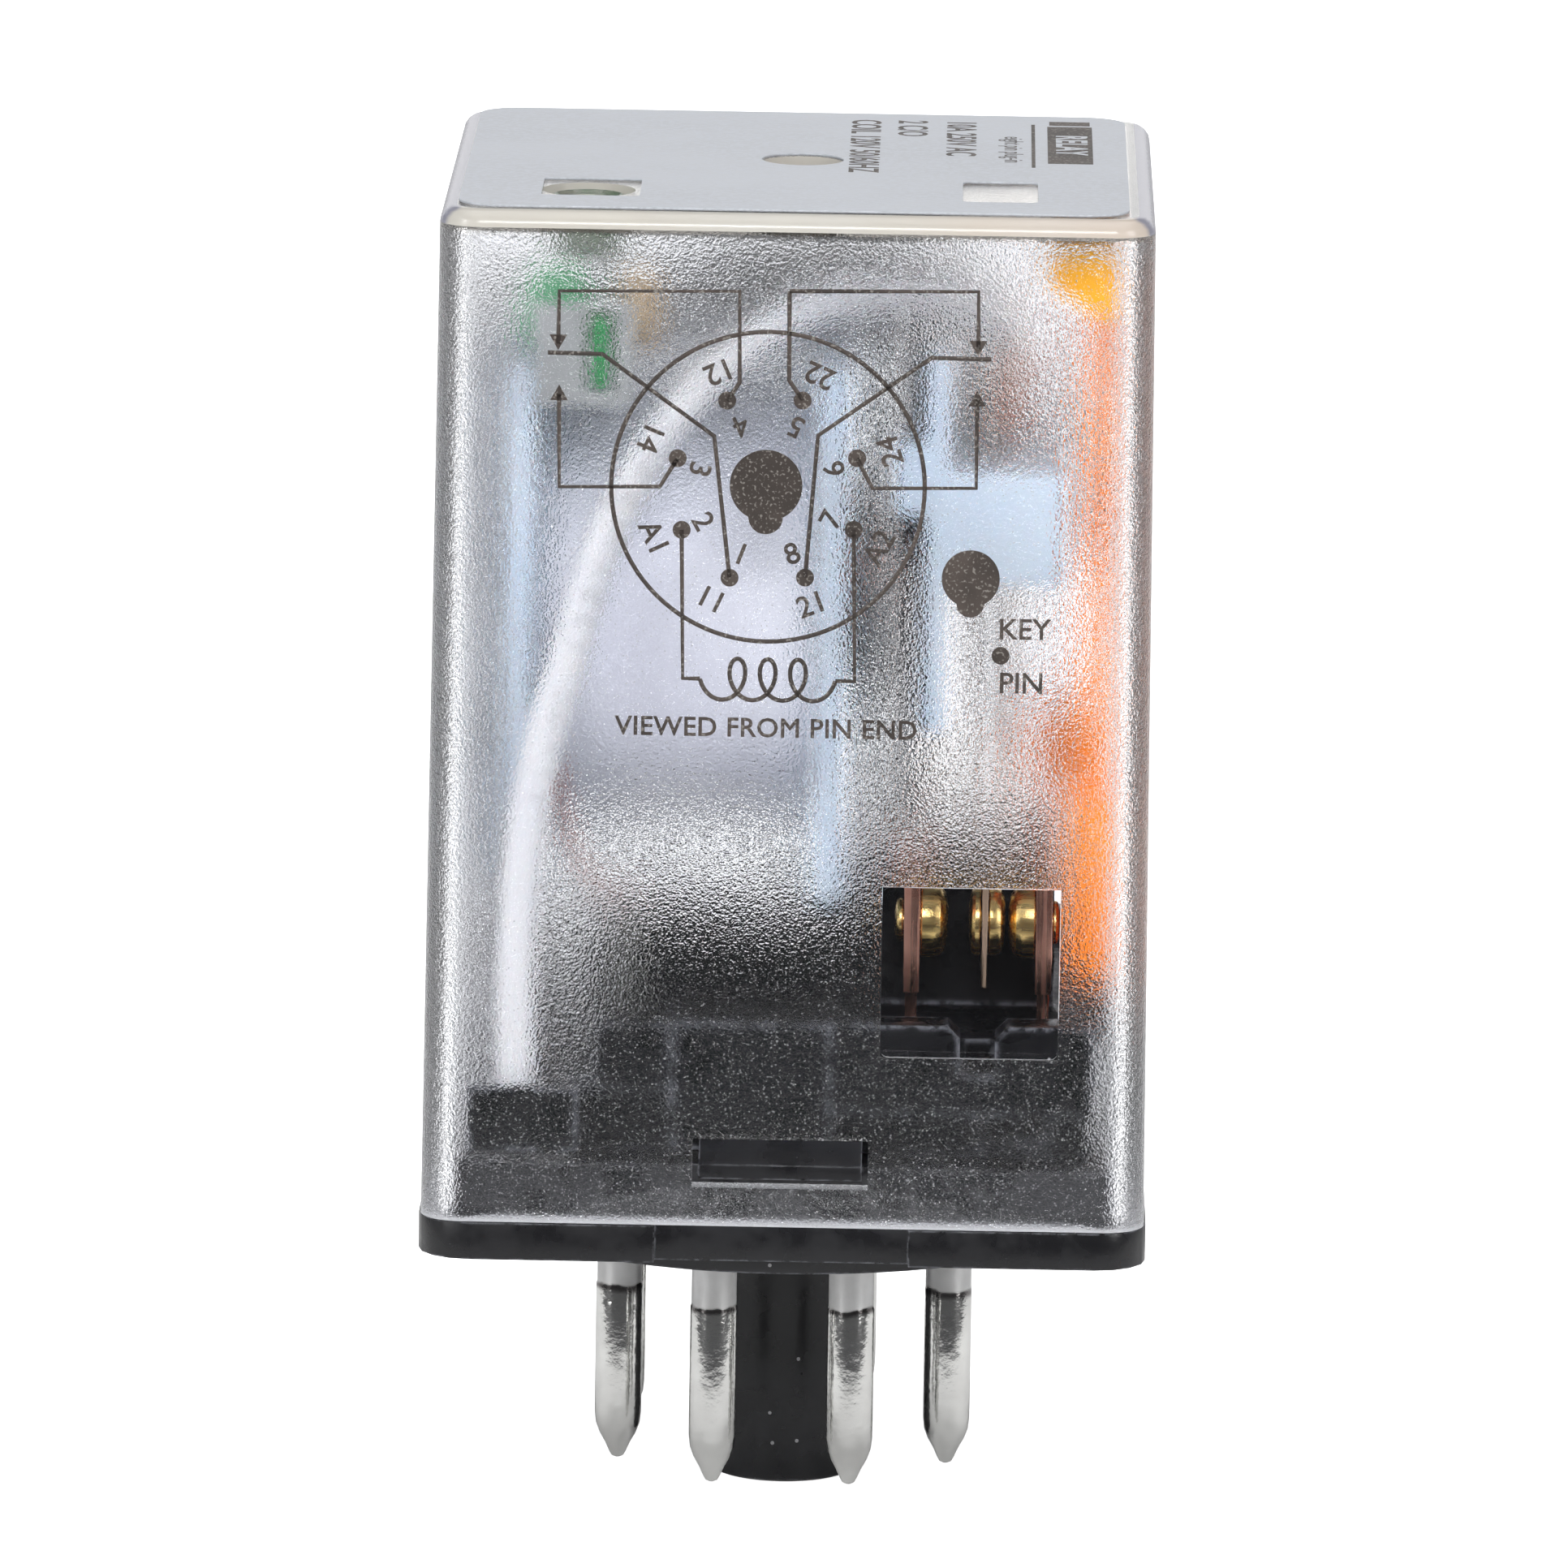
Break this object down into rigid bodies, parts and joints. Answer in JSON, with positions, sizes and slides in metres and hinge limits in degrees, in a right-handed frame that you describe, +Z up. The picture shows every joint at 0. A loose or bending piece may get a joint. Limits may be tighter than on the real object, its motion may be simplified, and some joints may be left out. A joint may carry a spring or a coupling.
{
  "type": "plug-in relay",
  "caption": "Plug-in relay with an octal pin base, clear cover, hinged-armature magnet, change-over contacts, lamp and mechanical flag.",
  "frame": {"origin": "on the axis of the pin circle, in the plane of the round boss that seats on the socket", "axes": "+Z up, away from the socket, along the pins; +X to the right and -Y out of the printed front with the latch and the contact window"},
  "size_m": [0.035, 0.035, 0.0651],
  "materials": {
    "clear_plastic": "clear moulded polycarbonate, spark-eroded outside with polished windows",
    "label_film": "thin silver-grey printed film",
    "black_plastic": "black moulded thermoset, satin",
    "pin_plating": "tin-plated brass, matt above and bright where dipped",
    "pale_nylon": "pale blue-grey moulded nylon",
    "winding": "enamelled copper wire",
    "winding_tape": "pale polyester tape",
    "magnet_iron": "nickel-plated soft iron",
    "copper": "bare rolled copper",
    "spring_bronze": "rolled contact spring bronze",
    "contact_metal": "bright gold-coloured contact rivet",
    "spring_steel": "bright drawn wire",
    "orange_plastic": "orange moulded acetal",
    "white_insulation": "white wire insulation",
    "red_insulation": "red enamelled lead",
    "green_lens": "clear green lamp resin",
    "green_board": "green solder-masked laminate",
    "grey_plastic": "grey moulded plastic",
    "resistor_body": "lacquered resistor body"
  },
  "bodies": {
    "root": {"cover": "clear_plastic", "cover_label": "label_film", "base": "black_plastic", "contact_block": "black_plastic", "pin_1": "pin_plating", "pin_2": "pin_plating", "pin_3": "pin_plating", "pin_4": "pin_plating", "pin_5": "pin_plating", "pin_6": "pin_plating", "pin_7": "pin_plating", "pin_8": "pin_plating", "bobbin": "pale_nylon", "coil_winding": "winding", "coil_wrap": "winding_tape", "core": "magnet_iron", "shading_ring": "copper", "yoke": "magnet_iron", "return_spring": "spring_steel", "open_post_front": "copper", "open_post_rear": "copper", "closed_post_front": "copper", "closed_post_rear": "copper", "open_contact_front": "contact_metal", "open_contact_rear": "contact_metal", "closed_contact_front": "contact_metal", "closed_contact_rear": "contact_metal", "lever_pivot_pin": "spring_steel", "lead_front": "white_insulation", "lead_rear": "white_insulation", "coil_lead_front": "red_insulation", "coil_lead_rear": "red_insulation", "coil_terminal_front": "pin_plating", "coil_terminal_rear": "pin_plating", "lamp": "green_lens", "lamp_board": "green_board", "lamp_bracket": "grey_plastic", "lamp_resistor": "resistor_body", "lamp_lens": "clear_plastic"},
    "armature": {"armature": "magnet_iron", "moving_insulator": "pale_nylon", "blade_front": "spring_bronze", "blade_rear": "spring_bronze", "moving_contact_front": "contact_metal", "moving_contact_rear": "contact_metal", "lead_tail_front": "copper", "lead_tail_rear": "copper"},
    "indicator": {"indicator_lever": "orange_plastic"}
  },
  "joints": [
    {"name": "armature_hinge", "type": "hinge", "parent": "root", "child": "armature", "pos_m": [0.00475, 0, 0.0449], "axis": [0, 1, 0], "range_deg": [0, 1.9], "stiffness_Nm_per_rad": 0.02, "springref_deg": -3.44, "deforming": ["return_spring", "lead_front", "lead_rear"]},
    {"name": "indicator_pivot", "type": "hinge", "parent": "root", "child": "indicator", "pos_m": [0.0146, 0, 0.0125], "axis": [0, 1, 0], "range_deg": [-3.1, 0]}
  ],
  "couplings": [
    {"joint": "indicator_pivot", "follows": "armature_hinge", "ratio": -1.592}
  ]
}
